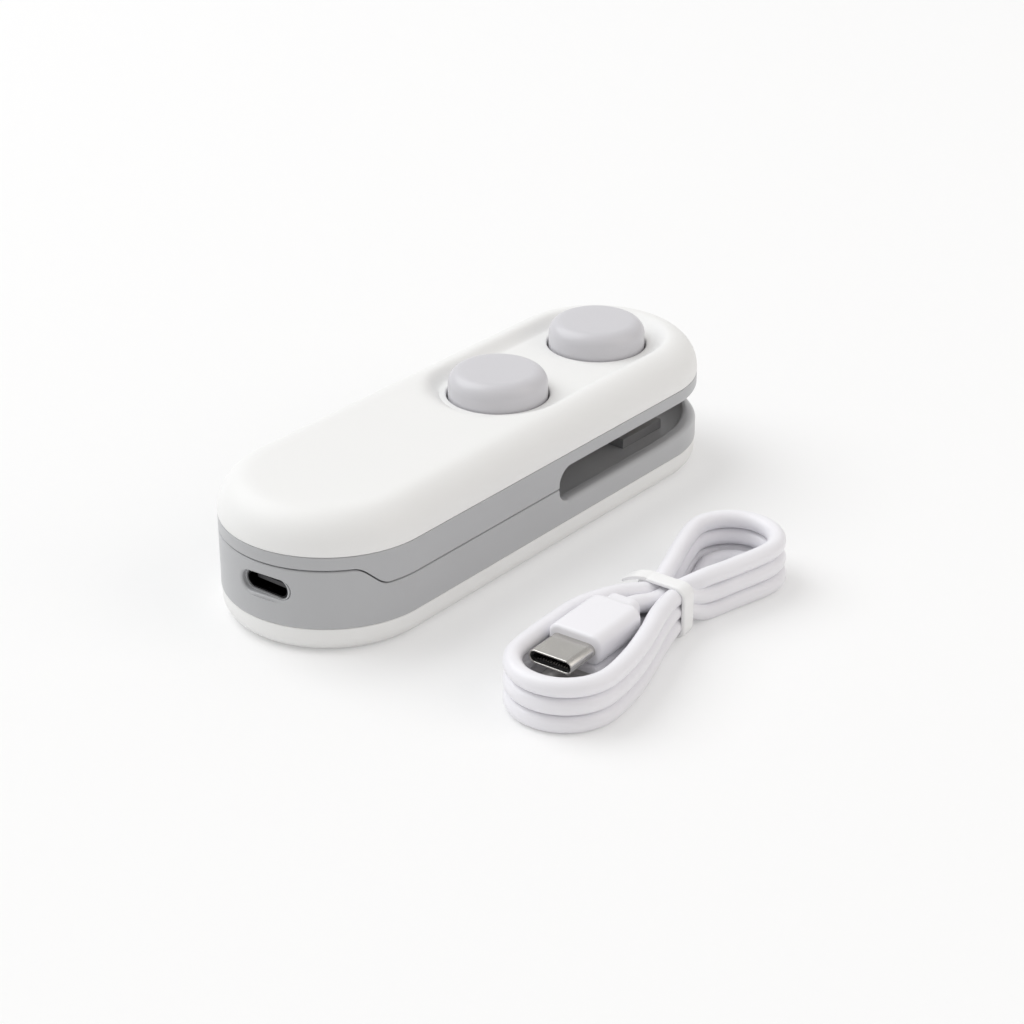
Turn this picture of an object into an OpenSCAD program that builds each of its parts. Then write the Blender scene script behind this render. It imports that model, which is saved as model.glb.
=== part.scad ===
// Handheld bag heat sealer with a sealing button, a cutting button and a charging lead.
// Millimetres. X runs from the charging port to the jaws, Z is up, and Z = 0 is the table.
// The origin is under the middle of the housing.

/* [Body] */
// Overall length of the housing
body_l = 112; // [100:1:140]
// Overall width of the housing, and the diameter of its round ends
body_w = 38; // [36:1:46]
// Wall of the housing shells
wall = 1.8; // [1.4:0.1:2.2]
// Wall and floor of the bottom cover
base_wall = 1.6; // [1.2:0.1:2]
// Height of the bottom cover
base_h = 4.9; // [4.6:0.1:6]
// Radius of the bottom cover's lower edge
base_edge = 3.2; // [2.4:0.1:3.6]
// Height of the grey band along the arm
band_h = 2.6; // [2.2:0.1:3.6]
// Height of the top cover above the band
crown_h = 6.9; // [6.5:0.1:9]
// Radius of the top cover's upper edge
crown_r = 6.4; // [4.5:0.1:6.4]
// Rise of the parting line round the rear end
rear_rise = 3.6; // [2:0.1:4]
// Length of the S-shaped step in the parting line
step_run = 5.6; // [4:0.1:8]

/* [Jaws] */
// Distance from the cutting button's centre back to the throat
throat_back = 6.4; // [6.4:0.1:9]
// Open height of the jaws, from the lower rim to the arm
jaw_gap = 6.5; // [6:0.1:9]
// Height of the lower jaw's side rim above the bottom cover
rim_h = 4.1; // [3.6:0.1:6]
// Radius of the throat's lower corner
throat_low_r = 3.05; // [2.5:0.05:3.4]
// Extra height of the lower jaw's front lip
front_lip = 1.4; // [0.5:0.1:2.2]
// Depth of the tray below the side rim
tray_d = 2.5; // [2:0.1:3]
// Width of the tray's rim
rim_w = 2.6; // [2:0.1:4]
// Radius where the tray's floor meets its rim
tray_r = 2.9; // [1:0.1:3]

/* [Buttons] */
// Diameter of each button
button_d = 18; // [15:0.2:21.6]
// Gap round each button
button_gap = 0.3; // [0.2:0.05:0.5]
// Distance between the two buttons
button_pitch = 29.4; // [28.8:0.1:32]
// Height of a button above the dish
button_h = 4.6; // [3.8:0.1:5]
// Radius of a button's upper edge
button_edge = 2; // [1:0.1:2.4]
// Travel of each button
travel = 3.2; // [2:0.1:3.4]
// Depth of the dish round the buttons
dish_d = 1.8; // [1:0.1:2]
// Width of the dish beyond the buttons' centres
dish_r = 13; // [12.6:0.1:14.5]

/* [Mechanism] */
// Diameter of the plunger shafts
shaft_d = 5; // [4:0.1:5.2]
// Diameter of the guide pins
pin_d = 2; // [1.6:0.1:2.4]
// Running clearance of shafts and pins, on the radius
run_fit = 0.05; // [0.02:0.01:0.1]
// Height of the silicone pad and of the cutting anvil
pad_h = 1.8; // [1.6:0.1:2.2]
// Length of the sealing head across the jaws
seal_l = 26; // [22:0.5:27]
// Wire diameter of the return springs
spring_wire = 0.7; // [0.5:0.05:0.8]
// Coils in each return spring
spring_coils = 4; // [3:1:5]

/* [Electrics] */
// Battery length
battery_l = 31; // [20:1:32]
// Battery width
battery_w = 19; // [14:0.5:19.5]
// Battery thickness
battery_t = 6; // [4:0.1:6.2]
// Thickness of the circuit boards
board_t = 1; // [0.8:0.1:1.2]
// Width of the charging socket's steel shell
port_w = 8.94; // [8.9:0.01:9]
// Height of the charging socket's steel shell
port_h = 3.16; // [3.1:0.01:3.3]
// Diameter of the insulated wires
wire_d = 1.2; // [0.8:0.1:1.3]
// Shank diameter of the case screws
screw_d = 2; // [1.8:0.1:2.2]

/* [Charging lead] */
// Diameter of the charging lead
lead_d = 3.2; // [3:0.1:3.4]
// Width of a plug's steel shell
plug_w = 8.25; // [8.2:0.01:8.35]
// Thickness of a plug's steel shell
plug_h = 2.4; // [2.3:0.01:2.45]

/* [Hidden] */
$fn = 64;

eps = 0.01;
far = 80;                              // reach of a cut that clears the whole body
seat = 0.02;                           // clearance of a piece pressed or laid in its seat

// Levels, from the table up
rim_z = base_h + rim_h;                // lower jaw's side rim
tray_z = rim_z - tray_d;               // lower jaw's tray floor
split_z = rim_z + throat_low_r;        // parting line along the sides
arm_z = rim_z + jaw_gap;               // underside of the arm
plate_t = 1.4;                         // thickness of the arm's floor
plate_z = arm_z + plate_t;             // inside floor of the arm
band_z = arm_z + band_h;               // seam between the band and the top cover
cover_z = band_z + crown_h;            // highest point of the top cover
dish_z = cover_z - dish_d;             // floor of the dish
dish_under_z = dish_z - wall;          // inside of the dish
button_z = dish_z + button_h;          // top of a button at rest

// Plan
r_out = body_w / 2;
r_in = r_out - wall;
arc_x = body_l / 2 - r_out;            // centre of each round end
seal_x = arc_x;                        // the sealing button shares the front arc's centre
cut_x = seal_x - button_pitch;
throat_x = cut_x - throat_back;
throat_up_r = arm_z - split_z;         // radius of the throat's upper corner
throat_wall_x = throat_x - wall;

// Seam lips
lip_h = 1.2;
lip_t = 1.4;
lip_fit = 0.06;
base_r = r_out - 0.1;                  // the bottom cover stands in by a hair
base_in = base_r - base_wall;

// Button and plunger
cap_r = button_d / 2;
hole_r = cap_r + button_gap;
cap_wall = 1.4;
flange_r = cap_r + 1.3;
flange_t = 0.8;
flange_top = dish_under_z - 0.1;
skirt_z = flange_top - flange_t;       // lowest edge of a button at rest
cap_in_z = button_z - 2;               // ceiling inside a button
boss_r = shaft_d / 2 + 1.5;
boss_low_z = skirt_z + 1;
guide_h = 1.1;                         // height of the guide collar on the arm's floor
socket_d = cap_in_z - boss_low_z - 0.4;
shaft_top = boss_low_z + socket_d;
head_top = arm_z - 0.3;
press_gap = 0.15;                      // thickness of bag film left under a pressed head
film_t = 0.2;
strip_t = 0.4;
head_low = tray_z + pad_h + travel + press_gap;  // lowest face of the film at rest
block_low = head_low + film_t;
seal_block_w = 8;
strip_w = 3;
pin_y = cap_r - 0.2;                   // the pins stand under the button's rim
pin_embed = 1.5;
carrier_l = 2 * pin_y + pin_d + 2;
carrier_w = 5;
blade_t = 0.5;
blade_l = 8;
blade_show = 1.2;
carrier_low = tray_z + pad_h + travel + blade_show - 0.6;
pad_w = 12;
pad_l = 22;
anvil_w = 6;
anvil_l = 16;
anvil_slot = [1.1, 1.2];

// Return springs stand round the button's boss, between the arm's floor and its ceiling
spring_r = boss_r + 0.3 + spring_wire;
spring_sides = 6;
spring_steps = 16;

// Case screws and their bosses
screw_head_r = 1.9;
screw_head_h = 1.3;
boss_d = 4.8;
case_boss_y = r_in - 4.7;
case_boss = [[-arc_x - 3, case_boss_y], [throat_wall_x - 7, case_boss_y]];
jaw_boss = [[cut_x + 12.4, 10], [seal_x + 5, 8]];
arm_boss_x = arc_x + r_in - lip_fit - lip_t - boss_d / 2 - 0.15;
counterbore_r = screw_head_r + 0.3;
case_counter_d = 1.9;
jaw_counter_d = 1.6;
case_screw_top = plate_z + 4.2;
jaw_screw_top = tray_z - 0.8;
jaw_boss_low = base_wall + 1.2;

// Boards, battery and charging port
port_z = base_h + 6.4;                 // centre of the charging port
port_y = -1.8;                         // the port stands a little to one side
board_z = port_z - port_h / 2 - board_t;  // underside of the main board
port_depth = 7.35;
port_face_x = -body_l / 2 + 1.4;
port_shell_t = 0.25;
tongue = [5.6, 6.7, 0.7];
port_recess = 1.2;
board_w = 19.8;
board_front_x = throat_wall_x - 2;
board_rear_x = port_face_x + 1.6;
board_post = [[board_rear_x + 7.5, 6.5], [board_front_x - 2.5, 6.5]];
post_r = 1.8;
board_screw_d = 1.6;
battery_front_x = board_front_x - 5.5;
battery_z = base_wall + 0.2;
switch_x = seal_x - cap_r + 0.6;
switch_w = 3.4;
switch_body_h = 1.5;
switch_pin_r = 0.8;
switch_ratio = 0.1;                    // switch travel for each unit of button travel
notch_z = dish_z - 0.4;                // face inside the notch that presses the switch
notch_w = 6.4;
switch_board_w = 5.4;
switch_board_x = cut_x + flange_r + 0.8;
switch_board_front_x = switch_x + switch_w / 2;
switch_top = notch_z - travel * (1 - switch_ratio) - 0.05;

// Colours
white = [0.93, 0.93, 0.93];
grey = [0.66, 0.66, 0.67];
button_grey = [0.78, 0.78, 0.80];
steel = [0.75, 0.75, 0.76];
lead_white = [0.95, 0.95, 0.96];

// ---------------------------------------------------------------- shapes

// Outline with two round ends, centres at xa and xb
module slot2d(r, xa, xb) {
    translate([xa, 0]) circle(r);
    translate([xb, 0]) circle(r);
    translate([xa, -r]) square([xb - xa, 2 * r]);
}

module pill(r, z0, z1, xa = -arc_x, xb = arc_x) {
    translate([0, 0, z0]) linear_extrude(z1 - z0) slot2d(r, xa, xb);
}

// A half section, swept round both ends and along the middle
module swept(xa = -arc_x, xb = arc_x) {
    translate([xb, 0, 0]) rotate_extrude(angle = 180, start = -90) children();
    translate([xa, 0, 0]) rotate_extrude(angle = 180, start = 90) children();
    translate([xa, 0, 0]) rotate([90, 0, 90]) linear_extrude(xb - xa) {
        children();
        mirror([1, 0]) children();
    }
}

// Half section with its upper outer edge rounded
module crown2d(r, z0, z1, edge) {
    translate([0, z0]) square([r, z1 - edge - z0]);
    translate([0, z0]) square([r - edge, z1 - z0]);
    translate([r - edge, z1 - edge]) intersection() {
        circle(edge);
        square(edge);
    }
}

// Half section with its lower outer edge rounded
module keel2d(r, z0, z1, edge) {
    translate([0, z0 + edge]) square([r, z1 - z0 - edge]);
    translate([0, z0]) square([r - edge, z1 - z0]);
    translate([r - edge, z0 + edge]) intersection() {
        circle(edge);
        translate([0, -edge]) square(edge);
    }
}

// Points of an S-shaped fall of height h along a length run, from [x, z]
function fall(x, z, run, h, n = 14) = [for (i = [0 : n])
    [x + run * i / n, z - h / 2 * (1 - cos(180 * i / n))]];

// Side view of all that lies below the parting line
module below_split2d() {
    step_x = -arc_x - 8.6 - step_run / 2;
    high_z = split_z + rear_rise;
    polygon(concat([[-far, -far], [-far, high_z]], fall(step_x, high_z, step_run, rear_rise),
        [[far, split_z], [far, -far]]));
}

// Side view of the open jaws, with a round throat
module jaw2d() {
    intersection() {
        translate([throat_x + throat_up_r, split_z]) circle(throat_up_r);
        translate([throat_x, split_z]) square(throat_up_r);
    }
    translate([throat_x + throat_up_r - eps, split_z]) square([far, throat_up_r]);
    intersection() {
        translate([throat_x + throat_low_r, split_z]) circle(throat_low_r);
        translate([throat_x, rim_z]) square([throat_low_r, throat_low_r + eps]);
    }
    translate([throat_x + throat_low_r - eps, rim_z]) square([far, throat_low_r + eps]);
}

// Side view of the front lip, which rises from the side rim towards the tip
module front_lip2d() {
    lip_run = 20;
    lip_x = arc_x + 13;
    high_z = rim_z + front_lip;
    polygon(concat([[far, high_z]], fall(lip_x, high_z, -lip_run, front_lip),
        [[lip_x - lip_run, rim_z - 1], [far, rim_z - 1]]));
}

// A side view cut right across the body
module across() {
    rotate([90, 0, 0]) linear_extrude(2 * far, center = true) children();
}

module both_sides() {
    children();
    mirror([0, 1, 0]) children();
}

module cyl(r, z0, z1) {
    translate([0, 0, z0]) cylinder(r = r, h = z1 - z0);
}

module block(x0, x1, y0, y1, z0, z1) {
    translate([x0, y0, z0]) cube([x1 - x0, y1 - y0, z1 - z0]);
}

// A flat tube shape with round sides, lying along X
module port_solid(x0, x1, w, h, z) {
    translate([x0, 0, z]) rotate([90, 0, 90]) linear_extrude(x1 - x0)
        slot2d(h / 2, -(w - h) / 2, (w - h) / 2);
}

// Circular tube swept along a list of points, with its ends square to the route
function unit(v) = v / norm(v);
function tangent(p, i) = unit(p[min(i + 1, len(p) - 1)] - p[max(i - 1, 0)]);
function ring(c, t, r, n) =
    let (side = unit(cross(t, abs(t.z) > 0.9 ? [1, 0, 0] : [0, 0, 1])), up = cross(side, t))
    [for (k = [0 : n - 1]) c + r * (cos(360 * k / n) * side + sin(360 * k / n) * up)];
module tube(route, d, n = 8) {
    rings = len(route);
    points = [for (i = [0 : rings - 1]) each ring(route[i], tangent(route, i), d / 2, n)];
    walls = [for (i = [0 : rings - 2], k = [0 : n - 1])
        [i * n + k, i * n + (k + 1) % n, (i + 1) * n + (k + 1) % n, (i + 1) * n + k]];
    start_face = [[for (k = [n - 1 : -1 : 0]) k]];
    end_face = [[for (k = [0 : n - 1]) (rings - 1) * n + k]];
    polyhedron(points, concat(walls, start_face, end_face), convexity = 6);
}

// Smooth route through a few points, with m steps between each pair
function spline(p, m) = [for (i = [0 : len(p) - 2], k = [0 : m - 1])
    let (t = k / m, a = p[max(i - 1, 0)], b = p[i], c = p[i + 1], d = p[min(i + 2, len(p) - 1)])
    0.5 * (2 * b + (c - a) * t + (2 * a - 5 * b + 4 * c - d) * t * t
        + (3 * b - a - 3 * c + d) * t * t * t), p[len(p) - 1]];

// ---------------------------------------------------------------- housing

module bottom_cover() color(white) {
    difference() {
        union() {
            difference() {
                swept() keel2d(base_r, 0, base_h, base_edge);
                swept() keel2d(base_in, base_wall, base_h + 1, base_edge - base_wall / 2);
            }
            both_sides() for (p = case_boss) translate(p) cyl(boss_d / 2 + 0.5, base_wall / 2, base_h);
            both_sides() for (p = jaw_boss) translate(p)
                cyl(boss_d / 2 + 0.5, base_wall / 2, jaw_boss_low);
            both_sides() for (p = board_post) translate(p) cyl(post_r, base_wall / 2, board_z);
        }
        both_sides() for (p = case_boss) translate(p) {
            cyl(counterbore_r, -1, case_counter_d);
            cyl(screw_d / 2 + 0.1, -1, base_h + 1);
        }
        both_sides() for (p = jaw_boss) translate(p) {
            cyl(counterbore_r, -1, jaw_counter_d);
            cyl(screw_d / 2 + 0.1, -1, base_h + 1);
        }
        both_sides() for (p = board_post) translate(p)
            cyl(board_screw_d / 2 + seat, board_z - 4, board_z + 1);
    }
}

// A post for a case screw, with a web to the side wall
module case_post(z0, z1) {
    both_sides() for (p = case_boss) {
        translate(p) cyl(boss_d / 2, z0, z1);
        block(p.x - 0.8, p.x + 0.8, p.y + 1, side_y(p.x), z0, z1);
    }
}
function side_y(x) = x < -arc_x ? sqrt(r_in * r_in - pow(x + arc_x, 2)) + 0.4 : r_in + 0.4;

module lower_shell() color(grey) {
    top_z = split_z + rear_rise + 1;
    difference() {
        union() {
            difference() {
                pill(r_out, base_h, top_z);
                pill(r_in, base_h - 1, top_z + 1);
            }
            difference() {
                union() {
                    pill(r_in + 0.4, base_h, base_h + lip_h);
                    pill(base_in - lip_fit, base_h - lip_h, base_h + eps);
                }
                pill(base_in - lip_fit - lip_t, base_h - 2 * lip_h, base_h + 2 * lip_h);
            }
            intersection() {
                pill(r_out, base_h, top_z);
                block(throat_wall_x, far, -far, far, 0, far);
            }
            case_post(base_h, split_z);
            both_sides() for (p = jaw_boss) translate(p) cyl(boss_d / 2, jaw_boss_low, base_h + eps);
        }
        // tray of the lower jaw
        intersection() {
            swept() keel2d(r_out - rim_w, tray_z, far, tray_r);
            block(throat_x + throat_low_r, far, -far, far, 0, far);
        }
        across() difference() {
            jaw2d();
            front_lip2d();
        }
        across() difference() {
            translate([-far, 0]) square([2 * far, far]);
            below_split2d();
        }
        both_sides() for (p = case_boss) translate(p) cyl(screw_d / 2 + 0.1, 0, far);
        both_sides() for (p = jaw_boss) translate(p)
            cyl(screw_d / 2 + seat, 0, jaw_screw_top + 0.2);
        // charging port: the shell's seat, and the shallow recess round it
        translate([0, port_y, 0]) {
            port_solid(-far, port_face_x + 3, port_w + 0.3, port_h + 0.3, port_z);
            port_solid(-far, -body_l / 2 + port_recess, port_w + 0.8, port_h + 0.5, port_z);
        }
    }
}

module upper_shell() color(grey) {
    low_z = split_z - 1;
    difference() {
        union() {
            difference() {
                pill(r_out, low_z, band_z);
                pill(r_in, low_z - 1, band_z + 1);
            }
            difference() {
                union() {
                    pill(r_in + 0.4, plate_z, band_z);
                    pill(r_in - lip_fit, plate_z, band_z + 0.8);
                }
                pill(r_in - lip_fit - lip_t, plate_z - 1, band_z + lip_h + 1);
            }
            // floor of the arm, with the throat's upper corner
            intersection() {
                pill(r_out, low_z, band_z);
                union() {
                    block(throat_wall_x, far, -far, far, arm_z - eps, plate_z);
                    block(throat_wall_x, throat_x + throat_up_r + 1, -far, far, low_z, plate_z);
                }
            }
            for (x = [seal_x, cut_x]) translate([x, 0, 0]) cyl(boss_r, arm_z, plate_z + guide_h);
            case_post(low_z, plate_z);
            translate([arm_boss_x, 0, 0]) cyl(boss_d / 2, arm_z, plate_z + 1.6);
        }
        across() below_split2d();
        across() jaw2d();
        for (x = [seal_x, cut_x]) translate([x, 0, 0]) cyl(shaft_d / 2 + run_fit, 0, far);
        both_sides() {
            for (x = [seal_x, cut_x]) translate([x, pin_y, 0]) cyl(pin_d / 2 + run_fit, 0, far);
            for (p = case_boss) translate(p) cyl(screw_d / 2 + 0.1, 0, far);
        }
        translate([arm_boss_x, 0, 0]) {
            cyl(screw_d / 2 + 0.1, 0, far);
            cyl(counterbore_r, 0, arm_z + screw_head_h + 0.1);
        }
    }
}

module top_cover() color(white) {
    difference() {
        union() {
            difference() {
                swept() crown2d(r_out, band_z, cover_z, crown_r);
                difference() {
                    swept() crown2d(r_in, band_z - 1, cover_z - wall, crown_r - wall);
                    pill(dish_r + 1.4, dish_under_z, far, cut_x, seal_x);
                }
            }
            both_sides() for (p = case_boss) translate(p) cyl(boss_d / 2, plate_z, cover_z - wall + 0.2);
            difference() {
                translate([arm_boss_x, 0, 0]) cyl(boss_d / 2, plate_z + 1.6, cover_z - crown_r / 2);
                translate([seal_x, 0, 0]) cyl(flange_r + 0.4, 0, dish_under_z);
            }
        }
        swept(cut_x, seal_x) polygon([[0, dish_z], [dish_r - 2.4, dish_z],
            [dish_r + 0.2, cover_z + eps], [dish_r + 0.2, far], [0, far]]);
        for (x = [seal_x, cut_x]) translate([x, 0, 0]) cyl(hole_r, 0, far);
        both_sides() for (p = case_boss) translate(p)
            cyl(screw_d / 2 + seat, 0, case_screw_top + 0.2);
        translate([arm_boss_x, 0, 0]) cyl(screw_d / 2 + seat, 0, plate_z + 4.1);
    }
}

// ---------------------------------------------------------------- buttons and heads

module button_cap() {
    difference() {
        union() {
            rotate_extrude() difference() {
                union() {
                    crown2d(cap_r, skirt_z, button_z, button_edge);
                    translate([0, skirt_z]) square([flange_r, flange_t]);
                }
                translate([0, skirt_z - 1]) square([cap_r - cap_wall, cap_in_z - skirt_z + 1]);
                translate([-far, 0]) square([far, far]);
            }
            cyl(boss_r, boss_low_z, cap_in_z + eps);
        }
        cyl(shaft_d / 2 + seat, 0, shaft_top + seat);
    }
}

module seal_button() color(button_grey) {
    difference() {
        translate([seal_x, 0, 0]) button_cap();
        block(0, switch_board_front_x + 0.5, -notch_w / 2, notch_w / 2, 0, notch_z);
    }
}

module cut_button() color(button_grey) translate([cut_x, 0, 0]) button_cap();

// Sealing head: a moulded block on a shaft, grooved for the heater strip
module seal_head() color([0.30, 0.25, 0.20]) translate([seal_x, 0, 0]) difference() {
    union() {
        block(-seal_block_w / 2, seal_block_w / 2, -seal_l / 2, seal_l / 2, block_low, head_top);
        cyl(shaft_d / 2, head_top - eps, shaft_top);
    }
    block(-strip_w / 2, strip_w / 2, -far, far, 0, block_low + strip_t);
    both_sides() translate([0, pin_y, 0]) cyl(pin_d / 2, head_top - pin_embed, far);
}

module guide_pins(x) {
    both_sides() translate([x, pin_y, 0]) cyl(pin_d / 2, head_top - pin_embed, skirt_z);
}

module seal_guide_pins() color(steel) guide_pins(seal_x);
module cut_guide_pins() color(steel) guide_pins(cut_x);

module heater_strip() color([0.72, 0.70, 0.66])
    translate([seal_x, 0, 0]) difference() {
        block(-strip_w / 2 + seat, strip_w / 2 - seat, -seal_l / 2, seal_l / 2,
            block_low, block_low + strip_t);
        both_sides() translate([0, seal_l / 2 - 1.6, 0]) cyl(0.5, 0, far);
    }

// Non-stick film, folded up both sides of the head
module ptfe_film() color([0.62, 0.50, 0.36]) translate([seal_x, 0, 0]) {
    w = seal_block_w / 2 + film_t;
    difference() {
        block(-w, w, -seal_l / 2, seal_l / 2, head_low, head_top - 0.6);
        block(-seal_block_w / 2, seal_block_w / 2, -far, far, block_low, far);
    }
}

// Return spring: a helix with flat end coils
module return_spring() {
    low = plate_z + spring_wire / 2;
    rise = cap_in_z - plate_z - spring_wire;
    turns = spring_coils + 2;
    steps = turns * spring_steps;
    function height(t) = low + rise * max(0, min(1, (t - 0.9) / (turns - 1.8)));
    route = [for (i = [0 : steps]) let (t = i / spring_steps)
        [spring_r * cos(360 * t), spring_r * sin(360 * t), height(t)]];
    tube(route, spring_wire, spring_sides);
}

module seal_spring() color(steel) translate([seal_x, 0, 0]) return_spring();
module cut_spring() color(steel) translate([cut_x, 0, 0]) return_spring();

module blade_carrier() color([0.20, 0.20, 0.22]) translate([cut_x, 0, 0]) difference() {
    union() {
        block(-carrier_w / 2, carrier_w / 2, -carrier_l / 2, carrier_l / 2, carrier_low, head_top);
        cyl(shaft_d / 2, head_top - eps, shaft_top);
    }
    block(-blade_t / 2, blade_t / 2, -blade_l / 2, blade_l / 2, 0, head_top - 1);
    both_sides() translate([0, pin_y, 0]) cyl(pin_d / 2, head_top - pin_embed, far);
}

// Blade with a shallow point, seated in the carrier's slot
module cutter_blade() color([0.82, 0.83, 0.84]) translate([cut_x, 0, 0])
    rotate([90, 0, 90]) linear_extrude(blade_t - 2 * seat, center = true) polygon([
        [-blade_l / 2 + seat, head_top - 1.05], [blade_l / 2 - seat, head_top - 1.05],
        [blade_l / 2 - seat, carrier_low], [0, carrier_low - blade_show],
        [-blade_l / 2 + seat, carrier_low]]);

module sealing_pad() color([0.36, 0.36, 0.37])
    block(seal_x - pad_w / 2, seal_x + pad_w / 2, -pad_l / 2, pad_l / 2, tray_z, tray_z + pad_h);

module cutting_anvil() color([0.24, 0.24, 0.26]) translate([cut_x, 0, 0]) difference() {
    block(-anvil_w / 2, anvil_w / 2, -anvil_l / 2, anvil_l / 2, tray_z, tray_z + pad_h);
    block(-anvil_slot[0] / 2, anvil_slot[0] / 2, -far, far, tray_z + pad_h - anvil_slot[1], far);
}

// ---------------------------------------------------------------- electrics

module battery_cell() color([0.55, 0.60, 0.68])
    block(battery_front_x - battery_l, battery_front_x, -battery_w / 2, battery_w / 2,
        battery_z, battery_z + battery_t);

// Two leads that leave the battery's front and turn up to the board
module battery_leads() color([0.75, 0.12, 0.10]) {
    bend = 1.4;
    z = battery_z + battery_t / 2;
    both_sides() translate([battery_front_x, 3, 0]) {
        translate([0, 0, z]) rotate([0, 90, 0]) cylinder(d = wire_d, h = 0.5);
        translate([0.5, 0, z + bend]) rotate([90, 0, 0])
            rotate_extrude(angle = 90, start = -90) translate([bend, 0]) circle(d = wire_d);
        translate([0.5 + bend, 0, 0]) cyl(wire_d / 2, z + bend, board_z);
    }
}

module main_board() color([0.10, 0.38, 0.20]) difference() {
    intersection() {
        pill(r_in - 0.6, board_z, board_z + board_t);
        block(board_rear_x, board_front_x, -board_w / 2, board_w / 2, 0, far);
    }
    both_sides() for (p = board_post) translate(p) cyl(board_screw_d / 2 + 0.1, 0, far);
}

// Charge controller, driver transistors, choke, capacitors and two wire pads
module board_components() color([0.12, 0.12, 0.13])
    translate([board_front_x, 0, board_z + board_t]) {
        block(-33, -28, -2.5, 2.5, 0, 1.2);
        block(-26, -20, 1.5, 7.5, 0, 3);
        for (y = [-7, -3]) block(-25, -21, y, y + 3, 0, 1.1);
        for (x = [-16, -13, -10]) translate([x, 4, 0]) cylinder(d = 2.2, h = 2.2);
        for (x = [-17 : 3 : -8]) block(x, x + 1.6, -3, -2.2, 0, 0.8);
        both_sides() block(-10, -7, 7.4, 9.4, 0, 0.2);
    }

module board_screws() color(steel) both_sides() for (p = board_post) translate(p) {
    cyl(1.4, board_z + board_t, board_z + board_t + 0.9);
    cyl(board_screw_d / 2, board_z - 3.6, board_z + board_t + eps);
}

module usb_receptacle() color(steel) translate([0, port_y, 0]) difference() {
    port_solid(port_face_x, port_face_x + port_depth, port_w, port_h, port_z);
    port_solid(port_face_x - 1, port_face_x + port_depth - 0.6,
        port_w - 2 * port_shell_t, port_h - 2 * port_shell_t, port_z);
}

module usb_tongue() color([0.06, 0.06, 0.06])
    translate([port_face_x + port_depth - 0.6 - tongue[0], port_y - tongue[1] / 2, port_z - tongue[2] / 2])
        cube(tongue);

module switch_board() color([0.10, 0.38, 0.20])
    block(switch_board_x, switch_board_front_x, -switch_board_w / 2, switch_board_w / 2,
        plate_z, plate_z + board_t);

module tact_switch() color([0.16, 0.16, 0.17]) translate([switch_x, 0, plate_z + board_t])
    difference() {
        translate([-switch_w / 2, -switch_w / 2, 0]) cube([switch_w, switch_w, switch_body_h]);
        cyl(switch_pin_r + run_fit, 0.4, far);
    }

module switch_plunger() color([0.85, 0.80, 0.70]) translate([switch_x, 0, 0])
    cyl(switch_pin_r, plate_z + board_t + 0.4 + travel * switch_ratio + 0.1, switch_top);

// Route of one heater lead, from the main board round the cutting button to the switch board
wire_z = plate_z + wire_d / 2 + 0.1;
wire_start_x = board_front_x - 8.4;
wire_end_x = switch_board_x + 1.3;
wire_low_z = board_z + board_t + 0.2;
wire_round = flange_r + wire_d / 2 + 0.6;  // the wire's path round the cutting button
wire_route = concat(
    [[wire_start_x, 8.4, wire_low_z], [wire_start_x, 8.4, wire_low_z + 2.8],
        [wire_start_x + 0.9, 8.2, wire_low_z + 5.9], [wire_start_x + 3.5, 8, wire_z],
        [wire_start_x + 7.5, 8.6, wire_z]],
    [for (a = [120 : -20 : 20]) let (k = wire_round + 1.6 * sin(a))
        [cut_x + k * cos(a), k * sin(a), wire_z]],
    [[wire_end_x, 4.4, wire_z + 0.9], [wire_end_x, 3, wire_z + board_t + 0.1],
        [wire_end_x, 1.6, wire_z + board_t]]);
module heater_leads() color([0.85, 0.85, 0.83])
    both_sides() tube(spline(wire_route, 3), wire_d);

// ---------------------------------------------------------------- screws

module pan_screw(head_z, top_z) {
    cyl(screw_head_r, head_z - screw_head_h, head_z);
    cyl(screw_d / 2, head_z - eps, top_z);
}

module case_screws() color(steel) both_sides() for (p = case_boss) translate(p)
    pan_screw(case_counter_d, case_screw_top);

module jaw_screws() color(steel) both_sides() for (p = jaw_boss) translate(p)
    pan_screw(jaw_counter_d, jaw_screw_top);

module arm_screw() color(steel) translate([arm_boss_x, 0, 0])
    pan_screw(arm_z + screw_head_h + 0.1, plate_z + 3.9);

// ---------------------------------------------------------------- charging lead

// Plan of the hank, along its own axis, with the tie at [0, 0]
hank_h = 3 * lead_d;                   // three strands high
loops = [[-29.2, 8.4], [21.7, 7.5]];   // centre and radius of the loop by the plugs, and the other
neck_w = hank_h / 2;                   // half the hank's width at the tie
plug_x = -31.3;                        // tip of both plugs' shells
plug_y = 1.6;                          // middle of both plugs, to one side of the tie
grip = [15.1, 10, 5.4];
shell_l = 6.65;
tie_w = 3;
tie_t = 0.8;
lead_place = [-10.3, -50, 0];
lead_turn = 3;

module laid() {
    translate(lead_place) rotate([0, 0, lead_turn]) children();
}

// Outline of one loop, half a lead outside (1) or inside (-1) the middle of its strands
module loop2d(x, r, side) {
    edge = r + side * lead_d / 2;
    half = side * lead_d / 2;
    left = x < 0 ? [-13, 8.4 + half] : [12, 5.4 + half];
    right = x < 0 ? [-14, -5.6 - half] : [12, -5.4 - half];
    neck_x = side > 0 ? -sign(x) : sign(x) * 3;
    neck_y = side > 0 ? neck_w : 1.8;
    start_y = 0.985 * edge;
    translate([x, 0]) circle(edge);
    polygon([[x, start_y], left, [neck_x, neck_y], [neck_x, -neck_y], right, [x, -start_y]]);
}

module lead_hank() color(lead_white) laid() difference() {
    for (p = loops) linear_extrude(hank_h) loop2d(p[0], p[1], 1);
    for (p = loops) translate([0, 0, -1]) linear_extrude(hank_h + 2) loop2d(p[0], p[1], -1);
    tie_ring(far);
}

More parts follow.
